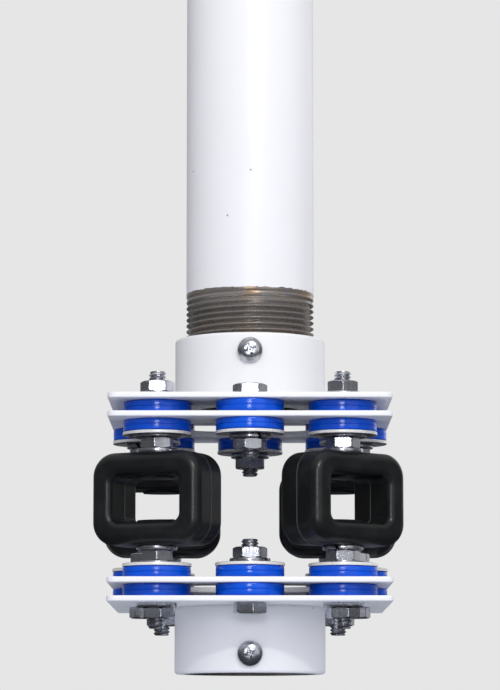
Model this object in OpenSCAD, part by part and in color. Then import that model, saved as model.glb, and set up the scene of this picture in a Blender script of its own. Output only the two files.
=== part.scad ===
// Anti-vibration adapter between a threaded ceiling column and a projector mount.
// Four hollow rubber isolators part two pairs of plates. Within each pair the
// plates meet only through eight ring-and-bushing mounts. A pipe coupling is
// welded to each outer plate, and the column is screwed into the upper one.
// Millimetres, +Z up, origin at the centre of the lower coupling's open rim.

/* [Couplings] */
// Wall of each coupling, outside the crests of its thread
coupling_wall = 5.92; // [5:0.02:8]
// Height of each coupling
coupling_h = 25; // [20:0.5:40]
// Rounding of the open rim's outer edge
coupling_rim_r = 1.2; // [0.5:0.1:2]
// Lead-in chamfer at the mouth of the thread
mouth_chamfer = 0.8; // [0.4:0.1:1.4]
// Rounding of the outer edge at the welded foot
foot_r = 1.4; // [0.8:0.1:2]
// Radius of the weld bead laid in the notch under that edge
weld_r = 0.6; // [0.4:0.1:0.8]

/* [Column] */
// Outside diameter of the column, a 1 1/2 inch pipe
column_d = 48.26; // [47:0.02:49]
// Wall of the column
column_wall = 3.68; // [2.8:0.02:3.9]
// Length of the column that is modelled
column_len = 152.4; // [120:0.1:400]
// Length of thread screwed into the upper coupling
engaged_len = 16; // [10:0.5:18]
// Bare thread left showing above the upper coupling
bare_thread_len = 16.6; // [8:0.1:30]
// Pitch of the pipe thread, 11.5 turns to the inch
thread_pitch = 2.2087; // [1.5:0.01:3]
// Depth of the thread from crest to root
thread_depth = 1.85; // [1.2:0.05:2]

/* [Plates] */
// Side of the square plates
plate_side = 103.5; // [100:0.5:130]
// Thickness of each plate
plate_t = 2; // [1.5:0.1:4]
// Corner radius of the plates
plate_corner_r = 3; // [1:0.5:10]
// Side of the cable opening in each inner plate
opening_side = 50; // [42:1:50]
// Corner radius of that opening
opening_corner_r = 12; // [6:0.5:16]
// Diameter of the cable hole in each outer plate
cable_hole_d = 41; // [38:0.5:44]
// From a plate edge to the mount at its middle
edge_to_side_mount = 12.75; // [12:0.05:13]
// From a plate edge to the mounts at its corners
edge_to_corner_mount = 17.75; // [15:0.05:19]

/* [Ring-and-bushing mounts] */
// Outside diameter of bushings and rings
bushing_d = 25; // [22:0.1:26]
// Height of a bushing's flange, between the plates of a pair
bushing_h = 4.8; // [3:0.1:10]
// Height of a ring, on the other side of the inner plate
ring_h = 4.4; // [3:0.1:10]
// Wall of the bushing's neck
neck_wall = 3; // [2:0.1:3.5]
// How far the neck's end stays below the ring's face
neck_short = 0.5; // [0.2:0.1:1.5]
// Rounding of the moulded edges
bushing_edge_r = 0.7; // [0.3:0.1:1.2]
// Wall of the steel sleeve inside each bushing
sleeve_wall = 1.4; // [1:0.1:1.8]

/* [Fasteners] */
// Diameter of bolts and studs, 1/4 inch
bolt_d = 6.35; // [5:0.05:6.6]
// Width across the flats of heads and nuts, 7/16 inch
hex_af = 11.1; // [10:0.05:12]
// Height of a bolt head
head_h = 4.2; // [3:0.1:5]
// Height of a nut
nut_h = 4.1; // [3.5:0.05:6]
// Length of bolt showing past its nut
bolt_end = 2.9; // [1:0.1:6]
// Length of stud showing past its outer nut
stud_end = 3.6; // [1:0.1:6]
// Outside diameter of the fender washers
fender_d = 25.4; // [22:0.1:25.4]
// Thickness of the fender washers
fender_t = 1.2; // [0.8:0.1:2]
// Outside diameter of the split lock washers
lock_d = 14.9; // [12.4:0.1:16]
// Thickness of the split lock washers
lock_t = 1.6; // [1.2:0.1:2.2]
// Gap at a lock washer's split
lock_split = 1.2; // [0.6:0.1:2]
// Outside diameter of the small flat washers on the studs
washer_d = 17.5; // [14:0.1:20]
// Thickness of the small flat washers
washer_t = 0.7; // [0.5:0.05:2]

/* [Set screws] */
// Diameter of a set screw's head
screw_head_d = 9.5; // [8:0.1:11]
// Height of the head
screw_head_h = 3; // [2.2:0.1:4]
// Diameter of the screw's shank
screw_d = 4.8; // [4:0.1:6]
// From the coupling's open rim to the screw
screw_from_rim = 6.9; // [6.5:0.1:9]
// Width of the cross recess
recess_w = 1.2; // [0.8:0.1:1.6]
// Length of the cross recess
recess_len = 5; // [3:0.1:6]
// Depth of the cross recess
recess_depth = 1.7; // [1:0.1:2]

/* [Isolators] */
// Width of an isolator's open face
isolator_w = 44.5; // [40:0.5:48]
// Height of an isolator
isolator_h = 34; // [30:0.1:50]
// Depth of an isolator, along its hole
isolator_depth = 21.5; // [18:0.5:30]
// Thickness of the rubber wall
isolator_wall = 8.4; // [7:0.1:9.5]
// Radius of the outside corners
isolator_corner_r = 8.7; // [7:0.1:12]
// Radius of the hole's corners
isolator_hole_r = 3; // [0.5:0.1:4]
// Rounding of the outer edges
isolator_edge_r = 3.6; // [1:0.1:4]
// Rounding of the hole's lips
lip_r = 2.7; // [1:0.1:3]
// Height of the pad that covers a stud's head
pad_h = 0.8; // [0.4:0.1:2]
// Diameter of that pad
pad_d = 15.4; // [14.4:0.1:16]
// Diameter of the plate head moulded into the rubber
stud_head_d = 14; // [10:0.1:14]
// Thickness of that head
stud_head_t = 2.2; // [1.5:0.1:3]
// Rubber between that head and the isolator's flat
head_cover = 3; // [2:0.1:3.5]
// Turn of the front left isolator about its stud, degrees
front_left_turn = -27; // [-45:1:45]
// Turn of the front right isolator
front_right_turn = 40; // [-45:1:45]
// Turn of the rear left isolator
rear_left_turn = 4; // [-45:1:45]
// Turn of the rear right isolator
rear_right_turn = -5; // [-45:1:45]

/* [Clearances] */
// Radial gap where one piece slides through another
slide_gap = 0.1; // [0.05:0.01:0.2]
// Radial clearance of the bolt holes in the outer plates
hole_gap = 0.3; // [0.2:0.05:0.6]
// Radial gap between screwed pieces
thread_gap = 0.05; // [0.02:0.01:0.1]

/* [Hidden] */
$fn = 96;
// Name of each mount and its direction from the axis
SPOTS = [
    ["front", 0, -1],
    ["front_right", 1, -1],
    ["right", 1, 0],
    ["rear_right", 1, 1],
    ["rear", 0, 1],
    ["rear_left", -1, 1],
    ["left", -1, 0],
    ["front_left", -1, -1],
];
SIDES = [for (s = SPOTS) if (s[1] * s[2] == 0) s];
CORNERS = [for (s = SPOTS) if (s[1] * s[2] != 0) s];
LEVELS = ["lower", "upper"];
TURNS = [front_right_turn, rear_right_turn, rear_left_turn, front_left_turn];

// How far each hexagon is turned to the right of facing its own side, in degrees:
// the lower level, then the upper one, each in the order of its spots
HEAD_TURNS = [[-19, 12, 27, -8], [0, -14, 22, 9]];
TIE_NUT_TURNS = [[3, 19, -11, 25], [12, -7, 28, 16]];
INNER_NUT_TURNS = [[6, -17, 11, 30], [0, 24, -9, 21]];
OUTER_NUT_TURNS = [[-14, 8, 26, -14], [30, -6, 17, 0]];
// Where each lock washer is split, in degrees from the right
TIE_SPLITS = [[-37, 64, 151, 230], [118, 205, -20, 66]];
INNER_SPLITS = [[-110, 15, 92, 170], [48, 133, 240, 301]];
OUTER_SPLITS = [[75, 162, 251, 340], [206, 22, 97, 280]];

side_at = plate_side / 2 - edge_to_side_mount;
corner_at = plate_side / 2 - edge_to_corner_mount;

thread_root_r = column_d / 2 - thread_depth;
coupling_bore_r = thread_root_r + thread_gap;
coupling_r = coupling_bore_r + coupling_wall;
bolt_r = bolt_d / 2;
sleeve_bore_r = bolt_r + slide_gap;
sleeve_r = sleeve_bore_r + sleeve_wall;
bushing_bore_r = sleeve_r + slide_gap;
neck_r = bushing_bore_r + neck_wall;
neck_hole_r = neck_r + slide_gap;

// Levels of the lower half, counted up from the open rim
outer_z = coupling_h;
bushing_z = outer_z + plate_t;
inner_z = bushing_z + bushing_h;
ring_z = inner_z + plate_t;
fender_z = ring_z + ring_h;
nut_z = fender_z + fender_t;
stud_nut_z = nut_z + washer_t;
isolator_z = stud_nut_z + nut_h + lock_t;
mid_z = isolator_z + isolator_h / 2;
total_h = 2 * mid_z;

column_z = total_h - engaged_len;
hex_ac = hex_af / cos(30);
overcut = 1;

// Turns a lower piece over into its place in the upper half
module at_level(v) {
    if (v == "upper")
        translate([0, 0, total_h]) rotate([0, 180, 0]) children();
    else
        children();
}

module at_spot(s) {
    reach = s[1] * s[2] == 0 ? side_at : corner_at;
    translate([s[1] * reach, s[2] * reach, 0]) children();
}

// The same fastener at each of the given spots in both halves, turned as listed
module at_each(spots, turns = []) {
    for (k = [0, 1])
        for (i = [0 : len(spots) - 1]) {
            turn = turns == [] ? 0 : turns[k][i];
            at_spot(spots[i]) at_level(LEVELS[k]) rotate([0, 0, k == 0 ? turn : -turn]) children();
        }
}

module rounded_rectangle(w, h, r) {
    square([w - 2 * r, h], center = true);
    square([w, h - 2 * r], center = true);
    for (x = [-1, 1])
        for (y = [-1, 1])
            translate([x * (w / 2 - r), y * (h / 2 - r)]) circle(r);
}

module washer(d, t, bore_r) {
    difference() {
        cylinder(d = d, h = t);
        translate([0, 0, -overcut]) cylinder(r = bore_r, h = t + 2 * overcut);
    }
}

// A hexagon with its corners turned down at both ends
module hexagon(h) {
    drop = (hex_ac - hex_af) / 2 * tan(30);
    far = hex_ac / 2;
    near = hex_af / 2;
    intersection() {
        cylinder(d = hex_ac, h = h, $fn = 6);
        rotate_extrude()
            polygon([[0, 0], [near, 0], [far, drop], [far, h - drop], [near, h], [0, h]]);
    }
}

module nut() {
    difference() {
        hexagon(nut_h);
        translate([0, 0, -overcut]) cylinder(r = bolt_r + thread_gap, h = nut_h + 2 * overcut);
    }
}

module lock_washer() {
    difference() {
        washer(lock_d, lock_t, bolt_r + slide_gap);
        rotate([35, 0, 0]) translate([0, -lock_split / 2, -lock_d]) cube([lock_d, lock_split, 2 * lock_d]);
    }
}

// The column: a pipe whose thread shows as ridges above the coupling and is
// drawn at its root where the coupling holds it
module support_column() {
    r = column_d / 2;
    turns = floor((bare_thread_len - thread_gap) / thread_pitch);
    thread_z = engaged_len + thread_gap;
    flat = thread_pitch / 8;
    ridges = [
        for (i = [0 : turns - 1])
            let (z = thread_z + i * thread_pitch)
            each [
                [thread_root_r, z],
                [thread_root_r, z + flat],
                [r, z + thread_pitch / 2 - flat / 2],
                [r, z + thread_pitch / 2 + flat / 2],
            ]
    ];
    runout_z = thread_z + turns * thread_pitch;
    bore_r = r - column_wall;
    ease = column_wall / 8;
    color("white") translate([0, 0, column_z]) rotate_extrude() polygon(concat(
        [[bore_r, 0], [thread_root_r - ease, 0], [thread_root_r, ease]],
        ridges,
        [[thread_root_r, runout_z], [r, runout_z + thread_depth]],
        [[r, column_len - ease], [r - ease, column_len], [bore_r, column_len]]
    ));
}

// A half coupling, welded to its plate in the notch under its rounded foot
module coupling(v) {
    r = coupling_r;
    rim = r - coupling_rim_r;
    foot = r - foot_r;
    color("white") at_level(v) difference() {
        rotate_extrude() difference() {
            union() {
                square([rim, coupling_h - foot_r]);
                square([foot, coupling_h]);
                translate([0, coupling_rim_r]) square([r, coupling_h - coupling_rim_r - foot_r]);
                translate([rim, coupling_rim_r]) circle(coupling_rim_r);
                translate([foot, coupling_h - foot_r]) circle(foot_r);
                intersection() {
                    translate([r - weld_r, coupling_h]) circle(weld_r);
                    square([r, coupling_h]);
                }
            }
            polygon([[-overcut, -overcut], [coupling_bore_r + mouth_chamfer + overcut, -overcut],
                [coupling_bore_r, mouth_chamfer], [coupling_bore_r, coupling_h + overcut],
                [-overcut, coupling_h + overcut]]);
        }
        translate([0, 0, screw_from_rim]) rotate([90, 0, 0])
            cylinder(r = screw_d / 2 + thread_gap, h = 2 * coupling_r);
    }
}

// The pan-headed screw that locks a pipe in its coupling
module set_screw(v) {
    seat = coupling_r + thread_gap;
    r = screw_head_d / 2;
    dome_r = (r * r + screw_head_h * screw_head_h) / (2 * screw_head_h) * 1.25;
    color("lightgray") at_level(v) translate([0, -seat, screw_from_rim]) rotate([90, 0, 0])
        difference() {
            union() {
                intersection() {
                    cylinder(r = r, h = screw_head_h);
                    translate([0, 0, screw_head_h - dome_r]) sphere(dome_r);
                }
                translate([0, 0, coupling_bore_r - seat + thread_gap])
                    cylinder(d = screw_d, h = seat - coupling_bore_r);
            }
            for (a = [0, 90])
                rotate([0, 0, a]) translate([-recess_len / 2, -recess_w / 2, screw_head_h - recess_depth])
                    cube([recess_len, recess_w, recess_depth + overcut]);
        }
}

// An outer plate, drilled for the bolts and studs
module outer_plate(v) {
    color("white") at_level(v) translate([0, 0, outer_z]) difference() {
        linear_extrude(plate_t) rounded_rectangle(plate_side, plate_side, plate_corner_r);
        translate([0, 0, -overcut]) cylinder(d = cable_hole_d, h = plate_t + 2 * overcut);
        for (s = SPOTS)
            at_spot(s) translate([0, 0, -overcut])
                cylinder(r = bolt_r + hole_gap, h = plate_t + 2 * overcut);
    }
}

// An inner plate, which floats between its bushings and rings
module inner_plate(v) {
    color("white") at_level(v) translate([0, 0, inner_z]) difference() {
        linear_extrude(plate_t) rounded_rectangle(plate_side, plate_side, plate_corner_r);
        translate([0, 0, -overcut]) linear_extrude(plate_t + 2 * overcut)
            rounded_rectangle(opening_side, opening_side, opening_corner_r);
        for (s = SPOTS)
            at_spot(s) translate([0, 0, -overcut])
                cylinder(r = neck_hole_r, h = plate_t + 2 * overcut);
    }
}

// Section of a moulded disc with rounded outer edges
module disc_section(bore_r, h) {
    r = bushing_d / 2;
    core = r - bushing_edge_r;
    translate([bore_r, 0]) square([core - bore_r, h]);
    translate([core, bushing_edge_r]) square([bushing_edge_r, h - 2 * bushing_edge_r]);
    for (z = [bushing_edge_r, h - bushing_edge_r])
        translate([core, z]) circle(bushing_edge_r);
}

// The bushing: a flange between the plates and a neck through the inner one
module bushing(v, s) {
    neck_len = plate_t + ring_h - neck_short;
    color("royalblue") at_spot(s) at_level(v) translate([0, 0, bushing_z]) rotate_extrude() {
        disc_section(bushing_bore_r, bushing_h);
        translate([bushing_bore_r, 0]) square([neck_wall, bushing_h + neck_len]);
    }
}

// The ring that grips the inner plate from its other side, round the neck
module ring(v, s) {
    color("royalblue") at_spot(s) at_level(v) translate([0, 0, ring_z]) rotate_extrude()
        disc_section(neck_hole_r, ring_h);
}

// Section of the isolator's outside, from a corner's centre outwards, over its whole depth
module edge_section() {
    half = isolator_depth / 2;
    flat = isolator_corner_r - isolator_edge_r;
    translate([0, -half]) square([flat, 2 * half]);
    translate([flat, isolator_edge_r - half]) square([isolator_edge_r, 2 * (half - isolator_edge_r)]);
    for (m = [0, 1])
        mirror([0, m]) translate([flat, half - isolator_edge_r]) intersection() {
            circle(isolator_edge_r);
            square(isolator_edge_r);
        }
}

// Section of the rounded lip round the hole
module lip_section() {
    half = isolator_depth / 2;
    translate([isolator_hole_r, lip_r - half]) square([lip_r, 2 * (half - lip_r)]);
    for (m = [0, 1])
        mirror([0, m]) translate([isolator_hole_r + lip_r, half - lip_r]) mirror([1, 0]) intersection() {
            circle(lip_r);
            square(lip_r);
        }
}

// Sweeps a section round a rectangle whose corners' centres lie at across, along
module swept_round(across, along) {
    for (q = [0 : 3]) {
        x = q % 2 == 0 ? across : along;
        y = q % 2 == 0 ? along : across;
        rotate([0, 0, 90 * q]) translate([x, y, 0]) {
            rotate_extrude(angle = 90) children();
            rotate([90, 0, 0]) linear_extrude(2 * y) children();
        }
    }
}

// The rubber ring about its own hole's axis: a rounded block with a lipped hole
module isolator_ring() {
    across = isolator_w / 2 - isolator_corner_r;
    along = isolator_h / 2 - isolator_corner_r;
    face = isolator_wall - lip_r;
    to_hole = isolator_wall + isolator_hole_r;
    difference() {
        union() {
            swept_round(across, along) edge_section();
            translate([-across, -along, -isolator_depth / 2]) cube([2 * across, 2 * along, isolator_depth]);
        }
        translate([0, 0, -isolator_depth / 2 - overcut]) linear_extrude(isolator_depth + 2 * overcut)
            rounded_rectangle(isolator_w - 2 * face, isolator_h - 2 * face, isolator_hole_r + lip_r);
    }
    swept_round(isolator_w / 2 - to_hole, isolator_h / 2 - to_hole) lip_section();
}

// A stud with its plate head, from the isolator's flat at height zero upwards
module isolator_stud(len) {
    translate([0, 0, -head_cover - stud_head_t]) {
        cylinder(d = stud_head_d, h = stud_head_t);
        cylinder(d = bolt_d, h = stud_head_t + head_cover + len);
    }
}

// One isolator: the ring with a pad over each moulded-in stud head
module isolator(i) {
    pad_z = isolator_h / 2 - isolator_wall - pad_h;
    pocket_z = isolator_h / 2 - head_cover - stud_head_t;
    edge = pad_h / 2;
    color("#1c1c1c") at_spot(CORNERS[i]) translate([0, 0, mid_z]) rotate([0, 0, TURNS[i]])
        difference() {
            union() {
                rotate([90, 0, 0]) isolator_ring();
                for (turn = [0, 180])
                    rotate([0, turn, 0]) translate([0, 0, pad_z]) {
                        cylinder(d1 = pad_d - 2 * edge, d2 = pad_d, h = edge);
                        translate([0, 0, edge]) cylinder(d = pad_d, h = edge + lip_r / 2);
                    }
            }
            for (turn = [0, 180])
                rotate([0, turn, 0]) translate([0, 0, pocket_z]) {
                    cylinder(r = stud_head_d / 2 + thread_gap, h = stud_head_t);
                    cylinder(r = bolt_r + thread_gap, h = stud_head_t + head_cover + overcut);
                }
        }
}

module isolator_studs() {
    reach = isolator_z - outer_z + lock_t + nut_h + stud_end;
    color("lightgray") at_each(CORNERS) translate([0, 0, isolator_z]) rotate([180, 0, 0])
        isolator_stud(reach);
}

// Steel sleeves that set how far the bushings are squeezed
module bushing_sleeves() {
    color("lightgray") at_each(SPOTS) translate([0, 0, bushing_z])
        washer(2 * sleeve_r, fender_z - bushing_z, sleeve_bore_r);
}

module fender_washers() {
    color("silver") at_each(SPOTS) translate([0, 0, fender_z])
        washer(fender_d, fender_t, bolt_r + slide_gap);
}

module stud_washers() {
    color("silver") at_each(CORNERS) translate([0, 0, nut_z])
        washer(washer_d, washer_t, bolt_r + slide_gap);
}

// Bolts that tie a plate pair together at the middle of each side
module tie_bolts() {
    shank = plate_t + fender_z - bushing_z + fender_t + lock_t + nut_h + bolt_end;
    color("lightgray") at_each(SIDES, HEAD_TURNS) translate([0, 0, outer_z]) {
        translate([0, 0, -head_h]) hexagon(head_h);
        cylinder(d = bolt_d, h = shank);
    }
}

// The nuts on the tie bolts, and two on each isolator stud
module hex_nuts() {
    color("lightgray") {
        at_each(SIDES, TIE_NUT_TURNS) translate([0, 0, nut_z + lock_t]) nut();
        at_each(CORNERS, INNER_NUT_TURNS) translate([0, 0, stud_nut_z]) nut();
        at_each(CORNERS, OUTER_NUT_TURNS) translate([0, 0, outer_z - lock_t - nut_h]) nut();
    }
}

// The split washers under the tie bolts' nuts, on the isolators and on the outer plates
module lock_washers() {
    color("lightgray") {
        at_each(SIDES, TIE_SPLITS) translate([0, 0, nut_z]) lock_washer();
        at_each(CORNERS, INNER_SPLITS) translate([0, 0, isolator_z - lock_t]) lock_washer();
        at_each(CORNERS, OUTER_SPLITS) translate([0, 0, outer_z - lock_t]) lock_washer();
    }
}

support_column();
for (v = LEVELS) {
    coupling(v);
    outer_plate(v);
    inner_plate(v);
    set_screw(v);
    for (s = SPOTS) {
        bushing(v, s);
        ring(v, s);
    }
}
for (i = [0 : len(CORNERS) - 1])
    isolator(i);
isolator_studs();
bushing_sleeves();
fender_washers();
stud_washers();
tie_bolts();
hex_nuts();
lock_washers();
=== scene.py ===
# %% [markdown]
# # Anti-vibration projector mount adapter
#
# The real object hangs a projector under a ceiling column and keeps vibration
# apart. A white column is screwed into a coupling that is welded to a square
# plate. Blue rubber bushings hold a second plate under it, four hollow black
# isolators join that to the mirrored lower half, and the lower coupling takes
# the projector's own mount.
#
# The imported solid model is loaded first, as a frame that nothing here moves.
# Each cell then dresses one kind of piece in its true place, so that the
# sizes stay those of the solid model.

# %% Load the frame
import math

import bmesh
import bpy
import numpy as np
from mathutils import Matrix, Vector


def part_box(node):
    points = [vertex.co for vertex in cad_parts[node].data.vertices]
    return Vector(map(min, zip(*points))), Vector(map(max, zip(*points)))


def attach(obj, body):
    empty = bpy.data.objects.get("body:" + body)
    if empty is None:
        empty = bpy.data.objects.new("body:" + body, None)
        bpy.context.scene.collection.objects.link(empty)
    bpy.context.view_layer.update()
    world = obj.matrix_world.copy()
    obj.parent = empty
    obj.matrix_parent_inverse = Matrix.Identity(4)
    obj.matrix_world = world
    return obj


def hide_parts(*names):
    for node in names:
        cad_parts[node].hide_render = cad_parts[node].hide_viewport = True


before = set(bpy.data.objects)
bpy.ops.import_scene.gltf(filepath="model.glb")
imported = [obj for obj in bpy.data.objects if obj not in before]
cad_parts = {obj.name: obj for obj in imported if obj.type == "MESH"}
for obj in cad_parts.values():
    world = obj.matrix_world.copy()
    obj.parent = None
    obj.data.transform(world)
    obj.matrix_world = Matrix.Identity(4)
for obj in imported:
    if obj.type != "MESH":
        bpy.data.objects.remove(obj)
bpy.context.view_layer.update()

MM = 0.001

# %% [markdown]
# ## The camera
#
# The photo was taken from a little below the object, looking slightly up, so
# every plate shows its near edge and a sliver of its underside. A long lens
# far away gives the same flat perspective. The place, the tilt and the lens
# were found by matching the plates' edges and both couplings' rims.

# %% Camera
CAMERA_AT = Vector((0.0, -1.2, -0.02908))
LOOKS_UP = math.radians(7.278)
FRAME_H, FOCAL_PX, SENSOR_MM = 690, 3192, 36

camera_data = bpy.data.cameras.new("camera")
camera_data.sensor_width = SENSOR_MM
camera_data.lens = FOCAL_PX / FRAME_H * SENSOR_MM
camera = bpy.data.objects.new("camera", camera_data)
camera.location = CAMERA_AT
camera.rotation_euler = (math.pi / 2 + LOOKS_UP, 0, 0)
bpy.context.collection.objects.link(camera)
bpy.context.scene.camera = camera
print("lens, mm:", round(camera_data.lens, 1))

# %% [markdown]
# ## Sizes
#
# The heights come from the boxes of the solid model's nodes. The radii that a
# box can't tell are repeated from the solid model's source.

# %% Heights and radii
PLATE_LOW, PLATE_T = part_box("lower_outer_plate")[0].z, 2.0 * MM
INNER_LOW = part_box("lower_inner_plate")[0].z
TOTAL_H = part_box("upper_coupling")[1].z
COLUMN_LOW, COLUMN_TOP = (corner.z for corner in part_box("support_column"))
PLATE_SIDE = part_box("lower_outer_plate")[1].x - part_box("lower_outer_plate")[0].x
RING_LOW, FENDER_LOW = INNER_LOW + PLATE_T, INNER_LOW + 6.4 * MM
NUT_LOW = FENDER_LOW + 1.2 * MM
SIDE_REACH, CORNER_REACH = 39 * MM, 34 * MM
COUPLING_R = 28.25 * MM
COLUMN_R, THREAD_DEPTH, THREAD_PITCH = 24.13 * MM, 1.85 * MM, 2.2087 * MM
BOLT_R = 3.175 * MM
HEX_AF = 11.1 * MM
LOCK_T, NUT_H, FLAT_T = 1.6 * MM, 4.1 * MM, 0.7 * MM

SPOTS = {
    "front": (0, -1), "front_right": (1, -1), "right": (1, 0), "rear_right": (1, 1),
    "rear": (0, 1), "rear_left": (-1, 1), "left": (-1, 0), "front_left": (-1, -1),
}
SIDES = [spot for spot in SPOTS.values() if 0 in spot]
CORNERS = [spot for spot in SPOTS.values() if 0 not in spot]
TURNED_OVER = Matrix.Translation((0, 0, TOTAL_H)) @ Matrix.Rotation(math.pi, 4, "Y")
HALVES = {"lower": Matrix.Identity(4), "upper": TURNED_OVER}
print("total height without the column, mm:", round(TOTAL_H / MM, 2))

# %% [markdown]
# ## Helpers for meshes
#
# Most pieces are turned on a lathe or moulded round, so they are made by
# sweeping a section once round the axis. A section's corners are rounded
# first, because no real edge is quite sharp, and it is the rounding that
# catches the light.


# %% Sections and the lathe
def rounded(corners, steps=4):
    """Turn corners of (radius, height, rounding) into a section with arcs."""
    section = []
    for i, (x, y, r) in enumerate(corners):
        if r == 0:
            section.append((x, y))
            continue
        here = Vector((x, y))
        back = (Vector(corners[i - 1][:2]) - here).normalized()
        on = (Vector(corners[(i + 1) % len(corners)][:2]) - here).normalized()
        half = back.angle(on) / 2
        centre = here + (back + on).normalized() * (r / math.sin(half))
        a = here + back * (r / math.tan(half)) - centre
        b = here + on * (r / math.tan(half)) - centre
        start = math.atan2(a.y, a.x)
        sweep = math.atan2(a.x * b.y - a.y * b.x, a.dot(b))
        for k in range(steps + 1):
            angle = start + sweep * k / steps
            section.append((centre.x + r * math.cos(angle), centre.y + r * math.sin(angle)))
    return section


def quarter(r, steps):
    """A quarter circle's points, as distances back from the square corner."""
    return [(r * (1 - math.sin(a)), r * (1 - math.cos(a)))
            for a in np.linspace(0, math.pi / 2, steps + 1)]


def tidy(mesh):
    """Merge doubles, so poles and seams close, and turn the faces outwards."""
    work = bmesh.new()
    work.from_mesh(mesh)
    bmesh.ops.remove_doubles(work, verts=work.verts, dist=1e-7)
    bmesh.ops.dissolve_degenerate(work, edges=work.edges, dist=1e-8)
    bmesh.ops.recalc_face_normals(work, faces=work.faces)
    work.to_mesh(mesh)
    work.free()
    return mesh


def new_mesh(name, points, faces):
    mesh = bpy.data.meshes.new(name)
    mesh.from_pydata(points, [], faces)
    return mesh


def grid_mesh(name, points, wrap_columns=True):
    """Join a ring of rows of points into a closed skin."""
    rows, columns = points.shape[:2]
    column = np.arange(columns if wrap_columns else columns - 1)
    i, j = np.meshgrid(np.arange(rows), column, indexing="ij")
    up, across = (i + 1) % rows, (j + 1) % columns
    quads = np.stack([i * columns + j, up * columns + j, up * columns + across,
                      i * columns + across], -1)
    return tidy(new_mesh(name, points.reshape(-1, 3).tolist(), quads.reshape(-1, 4).tolist()))


def lathe(name, section, segments=96, closed=True):
    """Sweep a section of (radius, height) points once round the Z axis."""
    section = np.array(section, float)
    turn = np.arange(segments) * 2 * math.pi / segments
    points = np.empty((segments, len(section), 3))
    points[..., 0] = np.outer(np.cos(turn), section[:, 0])
    points[..., 1] = np.outer(np.sin(turn), section[:, 0])
    points[..., 2] = section[:, 1]
    return grid_mesh(name, points, closed)


print("sections and the lathe are ready")


# %% Finishing and placing meshes
def shade(mesh, sharp_over=35):
    """Shade smoothly, except across edges sharper than the given degrees."""
    mesh.polygons.foreach_set("use_smooth", [True] * len(mesh.polygons))
    mesh.set_sharp_from_angle(angle=math.radians(sharp_over))
    mesh.update()
    return mesh


def joined(name, *meshes):
    """Put several shells into one mesh."""
    work = bmesh.new()
    for mesh in meshes:
        work.from_mesh(mesh)
    whole = bpy.data.meshes.new(name)
    work.to_mesh(whole)
    work.free()
    return whole


def moved(mesh, matrix):
    """Copy a mesh to another place."""
    copy = mesh.copy()
    copy.transform(matrix)
    copy.update()
    return copy


def mark(mesh, attribute, values):
    """Give every point of a mesh a number that a material can read."""
    mesh.attributes.new(attribute, "FLOAT", "POINT").data.foreach_set("value", values)


def linked(name, data):
    """Make an object and put it in the scene."""
    thing = bpy.data.objects.new(name, data)
    bpy.context.collection.objects.link(thing)
    return thing


def made_plain(thing, modifier):
    """Give back the result of an object's modifier as a plain mesh, and drop both."""
    depsgraph = bpy.context.evaluated_depsgraph_get()
    made = bpy.data.meshes.new_from_object(thing.evaluated_get(depsgraph), depsgraph=depsgraph)
    thing.modifiers.remove(modifier)
    bpy.data.objects.remove(thing)
    return made


def add_piece(name, mesh, material, slot, *nodes):
    """Put a finished mesh in the scene in place of the named solid nodes."""
    mesh.materials.clear()
    mesh.materials.append(material)
    piece = linked(name, mesh)
    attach(piece, "root")
    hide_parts(*nodes)
    return piece


print("mesh helpers are ready")

# %% [markdown]
# ## Helpers for nodes
#
# Materials and Geometry Nodes are both trees of nodes. One helper adds a
# node, sets its options and fills its inputs, with a link where a value comes
# from another node and a plain number where it doesn't. The others are short
# names for the nodes that every tree needs.

# %% Building trees
SOCKETS = {float: "Float", int: "Int", tuple: "Vector"}


def fill(tree, node, inputs):
    """Link or set inputs. A node stands for its first output; alpha may be left out."""
    for key, value in inputs.items():
        socket = node.inputs[key]
        if isinstance(value, bpy.types.Node):
            value = value.outputs[0]
        if isinstance(value, bpy.types.NodeSocket):
            tree.links.new(value, socket)
        elif socket.type == "RGBA" and len(value) == 3:
            socket.default_value = (*value, 1.0)
        else:
            socket.default_value = value


def add_node(tree, kind, inputs=None, **options):
    """Add a node, set its options, and link or set its inputs."""
    node = tree.nodes.new(kind)
    for name, value in options.items():
        setattr(node, name, value)
    fill(tree, node, inputs or {})
    return node


def calc(tree, operation, *values):
    """Do one sum on numbers."""
    return add_node(tree, "ShaderNodeMath", dict(enumerate(values)), operation=operation)


def times(tree, a, b):
    return calc(tree, "MULTIPLY", a, b)


def vector_calc(tree, operation, *values):
    """Do one sum on vectors; a length or a dot product comes out as a number."""
    node = add_node(tree, "ShaderNodeVectorMath", dict(enumerate(values)), operation=operation)
    return node.outputs["Value" if operation in ("LENGTH", "DOT_PRODUCT") else "Vector"]


def vector(tree, **xyz):
    return add_node(tree, "ShaderNodeCombineXYZ", {k.upper(): v for k, v in xyz.items()})


def parts(tree, arrow):
    """The X, Y and Z of a vector."""
    return add_node(tree, "ShaderNodeSeparateXYZ", {"Vector": arrow}).outputs


def ranged(tree, value, low, high, start=0.0, stop=1.0, way="LINEAR"):
    """Spread a value between low and high while it goes from start to stop."""
    return add_node(tree, "ShaderNodeMapRange", {
        "Value": value, "From Min": start, "From Max": stop, "To Min": low, "To Max": high},
        interpolation_type=way)


def words(key):
    """A socket's name in Blender's own spelling."""
    return key.replace("_", " ").title().replace("Ior", "IOR")


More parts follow.
